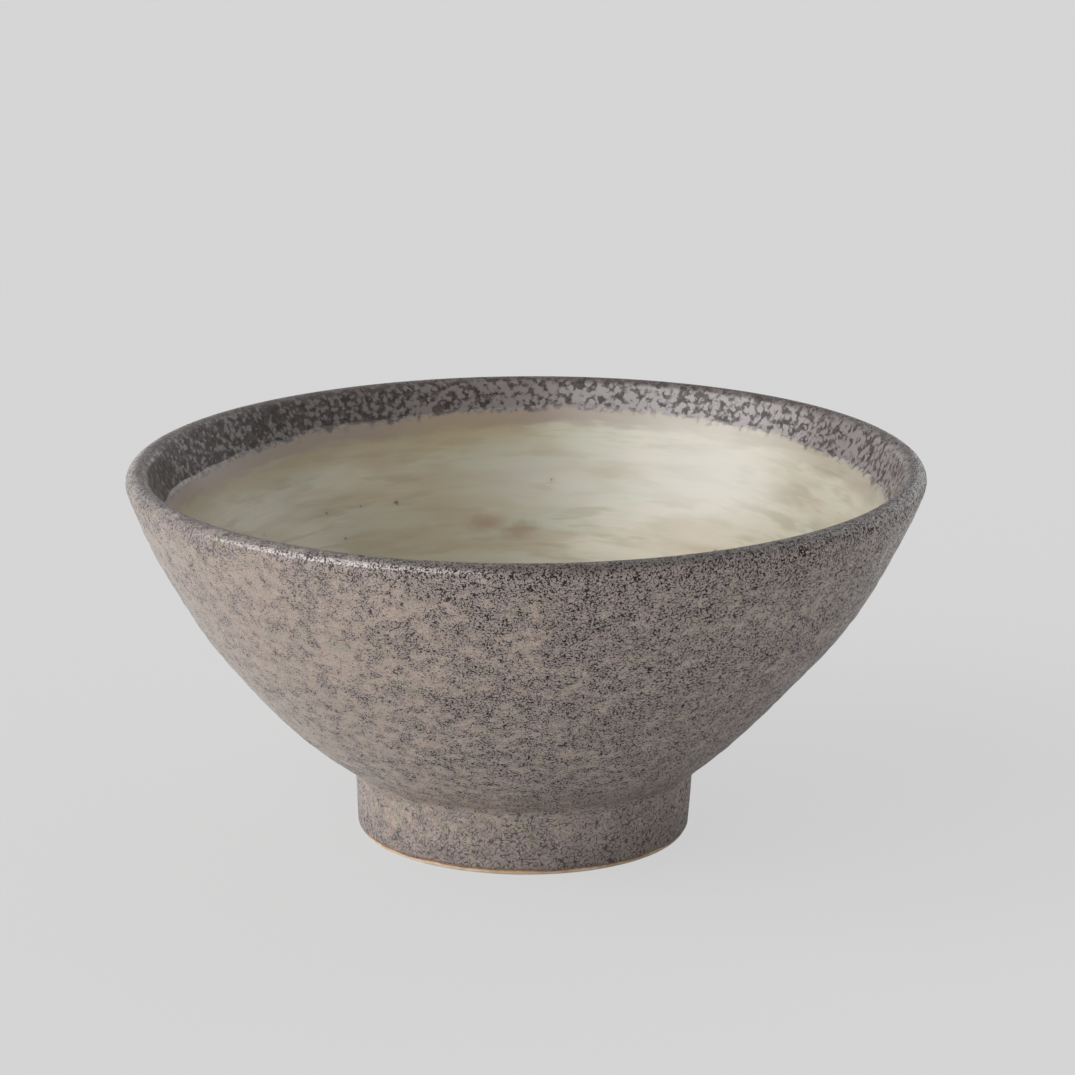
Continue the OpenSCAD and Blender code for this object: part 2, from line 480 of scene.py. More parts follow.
@dataclass(frozen=True)
class Coverage:
    """Where each coat of glaze ends on the skin, in lengths from the crown of the lip.

    Attributes:
        form: The outline of the clay.
        lip_out: How far the lip's coat reaches down outside.
        pale_from: How far inside the pale coat begins, in mm, by the angle in degrees.
        overlap_w: How far it lies over the speckled one.
        foot_bare, well_bare: How high the coats end on the foot, outside and in the well.
        roll: The rounding of the foot coat's lower edge.
        onto, off: From where to where the pale coat comes in, and the speckled one ends under it.
        lip_waves, pale_waves, overlap_waves, foot_waves: How the coats' edges wander.
        ripple: The rings of the fingers.
    """

    form: ThrownForm
    lip_out: float = 3.1 * MM
    pale_from: Knots = (
        (0.0, 11.4), (22.0, 10.8), (34.0, 10.2), (47.0, 9.0), (60.0, 8.8), (72.0, 8.3), (82.0, 7.9),
        (92.0, 8.7), (103.0, 9.3), (112.0, 10.1), (125.0, 10.0), (137.0, 11.3), (152.0, 12.4),
        (170.0, 12.3), (205.0, 11.2), (250.0, 10.6), (300.0, 11.2), (340.0, 11.6), (360.0, 11.4),
    )
    overlap_w: float = 6.0 * MM
    foot_bare: float = 1.3 * MM
    well_bare: float = 2.0 * MM
    roll: float = 0.5 * MM
    onto: Span = (0.0, 1.0 * MM)
    off: Span = (-2.0 * MM, 2.0 * MM)
    lip_waves: Waves = Waves(0.16 * MM, (3, 7, 16), 3)
    pale_waves: Waves = Waves(0.28 * MM, (17, 26, 41), 5)
    overlap_waves: Waves = Waves(0.8 * MM, (2, 5, 11), 8)
    foot_waves: Waves = Waves(0.2 * MM, (2, 5, 13, 21), 21)
    ripple: Ripple = Ripple()

    def lip_edge(self, angle: Array) -> Array:
        """Gives where the lip coat ends outside."""
        return -self.lip_out + self.lip_waves.at(angle)

    def pale_edge(self, angle: Array) -> Array:
        """Gives where the pale coat begins inside, lower at the left of the photograph's view."""
        return through(self.pale_from, np.degrees(angle)) * MM + self.pale_waves.at(angle)

    def overlap_edge(self, angle: Array) -> Array:
        """Gives where the pale coat stops lying over the speckled one."""
        return self.pale_edge(angle) + self.overlap_w + self.overlap_waves.at(angle)

    def foot_edge(self, angle: Array) -> Array:
        """Gives the height at which the foot's coat ends."""
        return self.foot_bare + self.foot_waves.at(angle)

    def thickness(self, length: Array, angle: Array) -> Array:
        """Gives the thickness of the fused coats over the skin.

        Args:
            length: Lengths from the crown of the lip.
            angle: Angles round the bowl.

        Returns:
            The height of the glaze's surface over the clay.
        """
        form = self.form
        onto = smooth_between(*self.onto, length - self.pale_edge(angle))
        off = smooth_between(*self.off, length - self.overlap_edge(angle))
        lifted = form.speckled_t + (form.overlap_t - form.speckled_t) * onto
        covered = lifted + (form.pale_t - form.overlap_t) * off
        pool = form.pool(length - form.joint_s + form.coat_shift())
        return covered + pool + self.ripple.at(length, angle, form.top_z)


def linked(name: str, data: bpy.types.ID) -> Piece:
    """Puts a mesh, a light or a camera into the scene.

    Args:
        name: The object's name.
        data: What it shows.

    Returns:
        The object.
    """
    made = bpy.data.objects.new(name, data)
    bpy.context.scene.collection.objects.link(made)
    return made


def turned_mesh(name: str, rows: Array, skin: Array, below: Array | float, topology: Topology) -> Piece:
    """Makes rows of points round the axis into one closed piece, shaded smooth but for its square edges.

    Args:
        name: The piece's name.
        rows: Places in rows, each once round the axis.
        skin: The place on the surface that patterns follow, for each point, in mm.
        below: How far below its upper edge each point lies, in mm, or one distance for them all.
        topology: Whether the rows close into a ring or end in two caps.

    Returns:
        The piece.
    """
    count, around = rows.shape[:2]
    below = np.broadcast_to(below, (count, around))[..., None]
    data = np.concatenate([rows, skin, below], axis=-1).reshape(count * around, -1)
    index = np.arange(count * around).reshape(count, around)
    here, after = index, np.roll(index, -1, axis=0)
    if topology is Topology.CAPPED:
        here, after = index[:-1], index[1:]
    quads = np.stack([here, np.roll(here, -1, axis=1), np.roll(after, -1, axis=1), after], axis=-1)
    faces = quads.reshape(-1, 4).tolist()
    if topology is Topology.CAPPED:
        first, last = index[0], index[-1]
        for one, other in ((np.roll(first, -1), first), (last, np.roll(last, -1))):
            faces += np.stack([one, other, np.full(around, len(data))], axis=1).tolist()
            data = np.vstack([data, data[one].mean(axis=0)])
    points, places, edges = np.split(data, (3, 6), axis=1)
    mesh = bpy.data.meshes.new(name)
    mesh.from_pydata(points.tolist(), [], faces)
    mesh.attributes.new(SKIN_ATTRIBUTE, "FLOAT_VECTOR", "POINT").data.foreach_set("vector", places.ravel())
    mesh.attributes.new(EDGE_ATTRIBUTE, "FLOAT", "POINT").data.foreach_set("value", edges.ravel())
    mesh.shade_smooth()
    mesh.update()
    mesh.validate()
    mesh.set_sharp_from_angle(angle=SQUARE_EDGE)
    return linked(name, mesh)


@dataclass(frozen=True)
class Fineness:
    """How closely the meshes are divided: points round the axis, and rows on each part of the skin."""

    around: int = 720
    wall_rows: int = 118
    lip_rows: int = 56
    band_rows: int = 14
    inside_rows: int = 110
    back_rows: int = 24
    underside_rows: int = 48
    foot_rows: int = 30
    ring_rows: int = 90
    seat_rows: int = 12

    def angles(self) -> Array:
        """Gives the angles round the axis."""
        return np.linspace(0.0, FULL_TURN, self.around, endpoint=False)


@dataclass(frozen=True)
class Noise:
    """A noise and how it is read.

    Attributes:
        scale: Its cells to a mm, or to the size that it is read with.
        detail: How many finer octaves it has.
        roughness: How strong those are.
        shift: How far its pattern is moved, in mm, so that two noises differ.
        stretch: How much faster it runs across, along and up.
        reach: How far it moves what it frays or bends, in mm, or in the size that it is read with.
        span: The range of it that shows, then what that is eased into.
    """

    scale: float
    detail: float = 2.0
    roughness: float = 0.5
    shift: float = 0.0
    stretch: Span = (1.0, 1.0, 1.0)
    reach: float = 0.0
    span: Span = ()


def feed(node: bpy.types.Node, *terms: object, **inputs: object) -> None:
    """Sets a node's sockets, or joins other nodes to them.

    Args:
        node: The node.
        *terms: What its sockets in use get, in order: a value, or a signal to join.
        **inputs: What its sockets get by name, with underscores for spaces.
    """
    used = [socket for socket in node.inputs if socket.enabled]
    named = [(node.inputs[name.replace("_", " ")], value) for name, value in inputs.items()]
    for socket, value in [*zip(used, terms), *named]:
        if isinstance(value, Signal):
            node.id_data.links.new(value.socket, socket)
        else:
            socket.default_value = value


def add_node(
    tree: Tree, kind: str, *terms: object, give: str = "", settings: dict | None = None, **inputs: object
) -> Signal:
    """Adds a node to a tree.

    Args:
        tree: The tree.
        kind: The node's type, without its ShaderNode prefix.
        *terms: What its sockets in use get, in order.
        give: The name of the output that is wanted, or nothing for the first one in use.
        settings: Its properties.
        **inputs: What its sockets get by name, with underscores for spaces.

    Returns:
        What the node gives.
    """
    made = tree.nodes.new("ShaderNode" + kind)
    for name, value in (settings or {}).items():
        setattr(made, name, value)
    feed(made, *terms, **inputs)
    return Signal(made.outputs[give] if give else next((out for out in made.outputs if out.enabled), None))


@dataclass(frozen=True)
class Signal:
    """What a node gives. Its methods add the nodes that come next, so that a shader reads as a few sums.

    Attributes:
        socket: The node's output.
    """

    socket: bpy.types.NodeSocket | None

    def then(self, kind: str, *terms: object, give: str = "", **settings: object) -> Signal:
        """Adds a node that takes this first.

        Args:
            kind: The node's type, without its ShaderNode prefix.
            *terms: What its next sockets get.
            give: The name of the output that is wanted, or nothing for the first one in use.
            **settings: Its properties.

        Returns:
            What the node gives.
        """
        return add_node(self.socket.id_data, kind, self, *terms, give=give, settings=settings)

    def math(self, operation: str, *terms: object) -> Signal:
        """Works a value out of this one and others, by a Math node's operation."""
        return self.then("Math", *terms, operation=operation)

    def __add__(self, other: object) -> Signal:
        """Adds a value."""
        return self.math("ADD", other)

    def __sub__(self, other: object) -> Signal:
        """Takes a value away."""
        return self.math("SUBTRACT", other)

    def __mul__(self, other: object) -> Signal:
        """Multiplies by a value."""
        return self.math("MULTIPLY", other)

    def __rtruediv__(self, other: float) -> Signal:
        """Divides a number by this."""
        return add_node(self.socket.id_data, "Math", other, self, settings={"operation": "DIVIDE"})

    def line(self, slope: object, base: object) -> Signal:
        """Multiplies this by a slope and adds a base."""
        return self.math("MULTIPLY_ADD", slope, base)

    def most(self, other: object) -> Signal:
        """Gives the larger of two values."""
        return self.math("MAXIMUM", other)

    def vector(self, operation: str, *terms: object) -> Signal:
        """Works this out with other vectors, or with single numbers that count for all three axes."""
        spread = [(term,) * 3 if isinstance(term, float) else term for term in terms]
        return self.then("VectorMath", *spread, operation=operation)

    def part(self, axis: str) -> Signal:
        """Gives one axis of a vector."""
        return self.then("SeparateXYZ", give=axis)

    def ease(self, low: object, high: object, start: object = 0.0, end: object = 1.0) -> Signal:
        """Eases this from the range between low and high into the one between start and end."""
        return self.then("MapRange", low, high, start, end, interpolation_type="SMOOTHSTEP")

    def blend(self, first: object, second: object) -> Signal:
        """Mixes two colours, with this as the second one's share."""
        return self.then("Mix", first, second, data_type="RGBA")

    def mix(self, first: object, second: object) -> Signal:
        """Mixes two values, with this as the second one's share."""
        return self.then("Mix", first, second, data_type="FLOAT")

    def brighten(self, value: object) -> Signal:
        """Scales a colour's brightness."""
        return add_node(self.socket.id_data, "HueSaturation", Color=self, Value=value)

    def noise(self, noise: Noise, size: object = None, give: str = "") -> Signal:
        """Reads a noise at this place.

        Args:
            noise: The noise.
            size: The size that its scale is measured in, or None for 1 mm.
            give: Color for three values, or nothing for one.

        Returns:
            What the noise gives, round its middle.
        """
        place = self.vector("ADD", noise.shift) if noise.shift else self
        if len(set(noise.stretch)) > 1:
            place = place.vector("MULTIPLY", noise.stretch)
        sockets = {"Scale": noise.scale if size is None else noise.scale / size, "Detail": noise.detail}
        tree = self.socket.id_data
        return add_node(tree, "TexNoise", give=give, Vector=place, Roughness=noise.roughness, **sockets)

    def eased(self, noise: Noise, *ends: object) -> Signal:
        """Reads a noise at this place, eased from its span into the rest of that, or into other ends."""
        return self.noise(noise).ease(*noise.span, *ends)

    def swing(self, noise: Noise) -> Signal:
        """Reads a noise at this place as a length from minus its reach to its reach."""
        return self.noise(noise).line(2.0 * noise.reach, -noise.reach)

    def bend(self, noise: Noise, size: object = None) -> Signal:
        """Pushes this place about by a noise, so that what is read there loses its even shape.

        Args:
            noise: The noise.
            size: The size that its scale and its reach are measured in, or None for 1 mm.

        Returns:
            The moved place.
        """
        push = self.noise(noise, size, "Color").vector("SUBTRACT", NOISE_MIDDLE)
        reach = noise.reach if size is None else size * noise.reach
        return self.vector("ADD", push.then("VectorMath", reach, operation="SCALE"))


def colour(red: float, green: float, blue: float) -> Colour:
    """Turns display values from 0 to 255 into the linear colour that shaders take.

    Args:
        red: The red value.
        green: The green value.
        blue: The blue value.

    Returns:
        The linear colour, opaque.
    """
    share = np.array((red, green, blue)) / DISPLAY_MAX
    curve = ((share + SRGB_OFFSET) / (1.0 + SRGB_OFFSET)) ** SRGB_POWER
    return (*np.where(share <= SRGB_KNEE, share / SRGB_SLOPE, curve).tolist(), 1.0)


class EffectGroup:
    """A shader node group with named inputs and outputs, built once and placed in many materials."""

    name = "effect"
    inputs: tuple[tuple[str, str, object], ...] = ()
    outputs: tuple[tuple[str, str], ...] = ()

    def __post_init__(self) -> None:
        """Makes the group with its sockets, then has the subclass wire it."""
        self.tree = bpy.data.node_groups.new(self.name, "ShaderNodeTree")
        for name, kind, value in self.inputs:
            socket = self.tree.interface.new_socket(name=name, in_out="INPUT", socket_type=kind)
            if value is not None:
                socket.default_value = value
        for name, kind in self.outputs:
            self.tree.interface.new_socket(name=name, in_out="OUTPUT", socket_type=kind)
        given = self.tree.nodes.new("NodeGroupInput").outputs
        feed(self.tree.nodes.new("NodeGroupOutput"), **self.wire({out.name: Signal(out) for out in given}))

    def wire(self, given: dict[str, Signal]) -> dict[str, Signal]:
        """Builds the effect.

        Args:
            given: The group's inputs by name.

        Returns:
            Its outputs by name.
        """
        raise NotImplementedError

    def place(self, skin: Signal, **inputs: object) -> dict[str, Signal]:
        """Places the group in a material.

        Args:
            skin: The place on the skin, in mm.
            **inputs: Its other inputs by name, with underscores for spaces.

        Returns:
            Its outputs by name.
        """
        group = {"node_tree": self.tree}
        made = add_node(skin.socket.id_data, "Group", settings=group, Place=skin, **inputs)
        return {out.name: Signal(out) for out in made.socket.node.outputs}


@dataclass
class Speckle(EffectGroup):
    """The taupe glaze: short dark marks that crowd round bald patches and darken towards the lip.

    A span is the range in which something changes, then the values that it changes from and to.
    Heights on the skin are in mm from the lip's crown, below 0 outside.

    Attributes:
        flatness: How much faster the marks change up the wall than round it.
        fray: What frays all that goes by height.
        lip_span, outside_span: How the marks crowd towards the lip, and how that ends over the crown.
        foot_span, across_span: How they crowd down the foot, and from left to right.
        low_span, left_span: How their strength fades towards the foot and towards the left.
        warp: What bends the marks.
        near, far, far_share: The patches, the larger ones and their share.
        crowd_span: How those turn into crowding.
        fine: The noise whose peaks are the marks.
        limit, limit_drop: Its height at which a mark starts, and how much crowding lowers that.
        stroke: The noise whose middle line shows as thin strokes.
        stroke_width, stroke_span: How wide those are where the marks crowd, and how they end.
        grain, tint, cloud: The grain between the marks, where it turns greenish, and slow clouds in it.
        lilac_span: How crowded places turn greyer.
        dark_lip_span: How the ground darkens at the lip.
        lip_lit_left_span, crown_span: Painted light: how much less the lip darkens towards the left, where
            light falls on it, apart from the crown.
        painted_foot_shade_span: Painted shade: how the ground darkens down the foot towards the table.
        mark_share, mark_sink: How far the marks cover the ground, and how deep they lie against the grain.
    """

    flatness: float = 1.05
    fray: Noise = Noise(0.45, 3.0, 0.6, reach=2.0)
    lip_span: Span = (-12.0, -4.0, 0.0, 0.135)
    outside_span: Span = (0.0, 3.0, 1.0, 0.0)
    foot_span: Span = (-115.0, -103.0, 0.12, 0.0)
    across_span: Span = (-75.0, 40.0, -0.04, 0.13)
    low_span: Span = (-110.0, -68.0, 0.66, 1.0)
    warp: Noise = Noise(0.6, 0.0, reach=1.2)
    near: Noise = Noise(1.0, 2.5, 0.6)
    far: Noise = Noise(0.25, 1.0)
    far_share: float = 0.25
    crowd_span: Span = (0.39, 0.85)
    left_span: Span = (-80.0, -5.0, 0.6, 1.0)
    fine: Noise = Noise(1.0, 1.0)
    limit: float = 0.662
    limit_drop: float = 0.124
    stroke: Noise = Noise(0.42, 0.0, shift=91.0)
    stroke_width: float = 0.036
    stroke_span: Span = (-0.012, 0.006, 1.0, 0.0)
    grain: Noise = Noise(1.2, 1.0, shift=19.0, span=(0.32, 0.68, 0.83, 1.14))
    tint: Noise = Noise(0.2, shift=37.0, span=(0.52, 0.7, 0.0, 0.7))
    cloud: Noise = Noise(0.3, 3.0, 0.65, shift=53.0, span=(0.35, 0.65))
    lilac_span: Span = (0.2, 1.0, 0.1, 0.85)
    dark_lip_span: Span = (-5.0, -0.8)
    lip_lit_left_span: Span = (-80.0, 30.0, 0.45, 1.0)
    crown_span: Span = (-3.0, 0.0)
    painted_foot_shade_span: Span = (-121.0, -103.0, 0.26, 0.0)
    mark_share: float = 0.95
    mark_sink: float = 0.6
    tan: Colour = colour(182, 164, 151)
    lilac: Colour = colour(158, 146, 143)
    sage: Colour = colour(167, 160, 143)
    mark: Colour = colour(37, 27, 22)
    lip: Colour = colour(90, 80, 77)

    name = "speckled_look"
    inputs = (
        ("Place", VECTOR, None),
        ("Crowding", FLOAT, 0.0),
        ("Mark size", FLOAT, 0.47),
        ("Patch size", FLOAT, 3.5),
        ("Softness", FLOAT, 0.06),
        ("Shade", FLOAT, 0.0),
        ("Cloudiness", FLOAT, 0.05),
        ("Least", FLOAT, 0.0),
    )
    outputs = (("Colour", COLOUR), ("Mark", FLOAT), ("Height", FLOAT))

    def wire(self, given: dict[str, Signal]) -> dict[str, Signal]:
        """Lets a fine noise through where a slower one is high, over a cloudy ground.

        Args:
            given: The group's inputs by name.

        Returns:
            The glaze's colour, where its marks are, and its height.
        """
        skin, size = given["Place"], given["Mark size"]
        patch, cloudy = given["Patch size"], given["Cloudiness"]
        side, along = skin.part("X"), skin.part("Z")
        frayed = along + skin.swing(self.fray)
        place = skin.vector("MULTIPLY", (1.0, 1.0, self.flatness))
        at_lip = frayed.ease(*self.lip_span) * along.ease(*self.outside_span)
        more = at_lip + along.ease(*self.foot_span) + side.ease(*self.across_span) + given["Crowding"]
        patches = place.noise(self.far, patch).line(self.far_share, place.noise(self.near, patch))
        crowd = (patches + more).ease(*self.crowd_span)
        bent = place.bend(self.warp, size)
        limit = crowd.line(-self.limit_drop, self.limit)
        mark = bent.noise(self.fine, size).ease(limit, limit + given["Softness"])
        off_line = (bent.noise(self.stroke, size) - NOISE_MIDDLE).math("ABSOLUTE")
        mark = mark.most((off_line - crowd * self.stroke_width).ease(*self.stroke_span))
        grain = bent.noise(self.grain, size)
        ground = crowd.ease(*self.lilac_span).blend(self.tan, self.lilac)
        ground = place.eased(self.tint).blend(ground, self.sage)
        # Painted light: the lip's dark ground is lightened towards the left, where light falls on it, but
        # not over the crown.
        lip_dark_share = side.ease(*self.lip_lit_left_span).most(frayed.ease(*self.crown_span))
        ground = (frayed.ease(*self.dark_lip_span) * lip_dark_share).blend(ground, self.lip)
        cloud = place.eased(self.cloud, cloudy.line(-1.0, 1.0), cloudy + 1.0)
        ground = ground.brighten(grain.ease(*self.grain.span) * cloud)
        # Painted shade: the ground darkens down the foot towards the table, together with the given Shade.
        foot_shade = along.ease(*self.painted_foot_shade_span) + given["Shade"]
        ground = foot_shade.blend(ground, self.mark)
        strength = along.ease(*self.low_span).most(given["Least"]) * side.ease(*self.left_span)
        shown = mark * strength * self.mark_share
        height = mark.line(-self.mark_sink, grain)
        return {"Colour": shown.blend(ground, self.mark), "Mark": mark, "Height": height}


@dataclass
class MottledBand(EffectGroup):
    """The dark glaze inside the lip: pale crystals that grow in it and run into each other.

    Attributes:
        crystal_size: How large the crystals are, in mm.
        warp: What bends their outlines.
        blot: The noise whose peaks are the crystals.
        cell_size, cell_share: The cells that round them off, in mm, and the cells' share.
        growth, growth_share: Where they grow thick or thin.
        fray, fray_share: What frays their outlines.
        side_span: How much less they grow towards the left, which partly follows the glaze and partly
            paints the shade on the band there.
        grown_span: How those turn into crystals.
        left_shade_span: Painted shade: how much fainter they are towards the left, where the band lies in
            shade.
        haze: The faint pale haze between them.
    """

    crystal_size: float = 1.9
    warp: Noise = Noise(1.1, 1.0, reach=0.9)
    blot: Noise = Noise(1.0, 2.3, 0.62)
    cell_size: float = 1.7
    cell_share: float = 0.42
    growth: Noise = Noise(0.11)
    growth_share: float = 0.3
    fray: Noise = Noise(1.7, 1.0)
    fray_share: float = 0.1
    side_span: Span = (-75.0, 15.0, -0.05, 0.05)
    grown_span: Span = (0.4, 0.6)
    left_shade_span: Span = (-50.0, 10.0, 0.6, 1.0)
    haze: Noise = Noise(0.5, 3.0, 0.65, span=(0.4, 0.7, 0.0, 0.3))
    dark: Colour = colour(58, 50, 48)
    pale: Colour = colour(131, 123, 122)

    name = "mottled_band"
    inputs = (("Place", VECTOR, None),)
    outputs = (("Colour", COLOUR), ("Crystal", FLOAT))

    def wire(self, given: dict[str, Signal]) -> dict[str, Signal]:
        """Grows crystals from a noise and round cells, with ragged outlines.

        Args:
            given: The group's inputs by name.

        Returns:
            The glaze's colour, and where its crystals are.
        """
        place = given["Place"]
        side, bent = place.part("X"), place.bend(self.warp)
        cells = add_node(self.tree, "TexVoronoi", Vector=bent, Scale=1.0 / self.cell_size)
        blot = cells.line(-self.cell_share, bent.noise(self.blot, self.crystal_size))
        grown = bent.noise(self.fray).line(self.fray_share, blot)
        # Fewer crystals towards the left: partly the glaze itself, partly painted shade.
        grown = place.noise(self.growth).line(self.growth_share, grown) + side.ease(*self.side_span)
        crystal = grown.ease(*self.grown_span)
        ground = place.eased(self.haze).blend(self.dark, self.pale)
        # Painted shade: the crystals are shown fainter towards the left, where the band lies in shade.
        shown = crystal * side.ease(*self.left_shade_span)
        return {"Colour": shown.blend(ground, self.pale), "Crystal": crystal}


@dataclass(frozen=True)
class Speck:
    """A round spot inside, so many degrees round the bowl and so many mm below the crown along the skin.

    A radius below 0, in mm, leaves it small and faint.
    """

    azimuth: float
    depth: float
    radius: float

    def centre(self, skin: Line) -> Vector:
        """Finds the speck's place.

        Args:
            skin: The outline that it lies on.

        Returns:
            Its place as the skin attribute gives it, in mm.
        """
        reach, turn = float(skin.at(self.depth * MM)[0]) / MM, math.radians(self.azimuth)
        return Vector((reach * math.cos(turn), reach * math.sin(turn), self.depth))


@dataclass
class PaleWash(EffectGroup):
    """The pale glaze: brushed streaks, a brown line where it starts, sparse specks of iron, and painted
    highlights.

    Attributes:
        skin: The outline that the specks lie on.
        specks, ragged: The specks of iron, and what frays them.
        spot_span, bleed_span: How a speck and its bleeding end, in mm from its edge.
        warm, painted_highlights, stains: Where the glaze is thick and golden, where whitish highlights are
            painted in, and where it is stained brown.
        warm_span, painted_highlight_span, stain_span: How those patches end, in mm from their edges.
        smear, smear_stretch: What frays the patches, and how much slower they end round the bowl.
        pool, broad, narrow, hair: The brush's streaks from the broadest to the finest.
        hair_share: How much of the finest streaks is relief.
        start: What frays the brown line at the start.
        line_span, faint_span: How the line ends, in mm below the dark band, and how it fades to the right.
        gold_span, gold_across: The golden strip below the line, and how it fades to the right.
    """

    skin: Line
    specks: tuple[Speck, ...] = (
        Speck(139.0, 16.6, 0.4), Speck(85.0, 29.4, 0.5), Speck(115.5, 34.1, 0.75), Speck(123.0, 33.6, 0.5),
        Speck(131.0, 33.9, 0.55), Speck(128.7, 42.0, 0.5), Speck(148.7, 35.2, 0.5), Speck(101.0, 21.0, 0.3),
        Speck(80.0, 13.5, 0.35), Speck(212.0, 28.0, 0.6), Speck(236.0, 40.0, 0.5), Speck(251.0, 22.0, 0.4),
        Speck(274.0, 33.0, 0.7), Speck(297.0, 47.0, 0.5), Speck(318.0, 26.0, 0.5), Speck(341.0, 38.0, 0.6),
        Speck(12.0, 30.0, 0.4), Speck(47.0, 44.0, 0.5), Speck(190.0, 50.0, 0.6), Speck(262.0, 62.0, 0.5),
        Speck(100.0, 70.0, 0.5), Speck(20.0, 80.0, 0.45),
    )
    stains: tuple[Speck, ...] = (Speck(97.9, 41.4, 1.5), Speck(91.2, 43.8, 1.4), Speck(79.8, 13.5, -0.6))
    warm: tuple[Speck, ...] = (
        Speck(109.0, 33.0, 6.0), Speck(114.0, 48.0, 6.0), Speck(103.0, 14.0, 3.0), Speck(50.0, 45.0, 6.0),
    )
    # Painted highlights: whitish patches where the gloss catches the light.
    painted_highlights: tuple[Speck, ...] = (Speck(54.0, 24.0, 7.0), Speck(91.0, 29.0, 2.0))
    warm_span: Span = (-4.0, 13.0, 0.45, 0.0)
    painted_highlight_span: Span = (-8.0, 14.0, 0.8, 0.0)
    pool: Noise = Noise(1.0, 2.0, 0.6, 11.0, (0.022, 0.022, 0.05), span=(0.4, 0.6))
    broad: Noise = Noise(1.0, 2.0, 0.6, 43.0, (0.03, 0.03, 0.11), span=(0.46, 0.68, 0.0, 0.68))
    narrow: Noise = Noise(1.0, 2.5, 0.6, 71.0, (0.055, 0.055, 0.3), span=(0.48, 0.66, 0.0, 0.74))
    hair: Noise = Noise(1.0, 2.0, 0.6, 5.0, (0.1, 0.1, 1.1), span=(0.45, 0.75, 0.0, 0.24))
    hair_share: float = 0.3
    start: Noise = Noise(1.0, 3.0, 0.6, 0.0, (0.12, 0.12, 0.5), reach=2.5)
    line_span: Span = (4.0, 7.0, 0.95, 0.0)
    faint_span: Span = (5.0, 60.0, 1.0, 0.45)
    gold_span: Span = (6.0, 16.0, 0.65, 0.0)
    gold_across: Span = (-30.0, 30.0, 1.0, 0.0)
    ragged: Noise = Noise(1.3, reach=0.9)
    spot_span: Span = (-0.15, 0.2, 0.85, 0.0)
    bleed_span: Span = (0.0, 1.6, 0.3, 0.0)
    smear: Noise = Noise(0.22, 3.0, 0.6, reach=5.0)
    smear_stretch: Span = (0.5, 0.5, 1.0)
    stain_span: Span = (-1.2, 3.0, 0.7, 0.0)
    cream: Colour = colour(190, 183, 164)
    celadon: Colour = colour(178, 178, 160)
    ochre: Colour = colour(167, 151, 126)
    olive: Colour = colour(158, 150, 125)
    gold: Colour = colour(160, 143, 108)
    # The colour of the painted highlights.
    highlight_white: Colour = colour(184, 181, 171)
    line: Colour = colour(145, 129, 116)
    stain: Colour = colour(145, 122, 93)
    iron: Colour = colour(84, 76, 60)

    name = "pale_wash"
    inputs = (("Place", VECTOR, None), ("Below", FLOAT, 0.0))
    outputs = (("Colour", COLOUR), ("Streak", FLOAT))

    def _nearest(self, place: Signal, specks: tuple[Speck, ...], stretch: Span = (1.0, 1.0, 1.0)) -> Signal:
        """Measures how far each place is from the edge of the nearest speck.

        Args:
            place: The place, in mm.
            specks: The specks.
            stretch: How fast each axis counts.

        Returns:
            The distance in mm.
        """
        counted = place.vector("MULTIPLY", stretch)
        nearest = None
        for speck in specks:
            centre = Vector(a * b for a, b in zip(speck.centre(self.skin), stretch))
            away = counted.vector("DISTANCE", centre) - speck.radius
            nearest = away if nearest is None else nearest.math("MINIMUM", away)
        return nearest

    def wire(self, given: dict[str, Signal]) -> dict[str, Signal]:
        """Lays tints over each other: streaks round the bowl, the line at the start, golden patches,
        painted highlights, stains and iron.

        Args:
            given: The group's inputs by name.

        Returns:
            The glaze's colour, and its streaks.
        """
        place = given["Place"]
        across = place.part("X")
        narrow, hair = place.noise(self.narrow), place.noise(self.hair)
        down = given["Below"] + place.swing(self.start)
        smeared = place.bend(self.smear)
        patches = (self.warm, self.painted_highlights, self.stains)
        warm, painted_highlights, stain = (self._nearest(smeared, specks, self.smear_stretch) for specks in patches)
        iron = self._nearest(place.bend(self.ragged), self.specks)
        ground = place.eased(self.pool).blend(self.cream, self.celadon)
        tints = (
            (place.eased(self.broad), self.ochre),
            (narrow.ease(*self.narrow.span), self.olive),
            (hair.ease(*self.hair.span), self.ochre),
            (down.ease(*self.gold_span) * across.ease(*self.gold_across), self.gold),
            (down.ease(*self.line_span) * across.ease(*self.faint_span), self.line),
            (warm.ease(*self.warm_span), self.gold),
            # Painted highlight: whitish where the gloss catches the light.
            (painted_highlights.ease(*self.painted_highlight_span), self.highlight_white),
            (stain.ease(*self.stain_span), self.stain),
            (iron.ease(*self.bleed_span), self.olive),
            (iron.ease(*self.spot_span), self.iron),
        )
        for share, tint in tints:
            ground = share.blend(ground, tint)
        return {"Colour": ground, "Streak": hair.line(self.hair_share, narrow)}


@dataclass(frozen=True)
class Shine:
    """The values of a finish that are the same all over it; the coat is the clear skin over the glaze."""

    roughness: float
    specular: float = 0.5
    coat_roughness: float = 0.3
    coat_ior: float = 1.5


def emptied(owner: bpy.types.Material | bpy.types.World) -> Tree:
    """Gives a material or a world a node tree with nothing in it.

    Args:
        owner: The material or the world.

    Returns:
        Its tree.
    """
    owner.use_nodes = True
    owner.node_tree.nodes.clear()
    return owner.node_tree


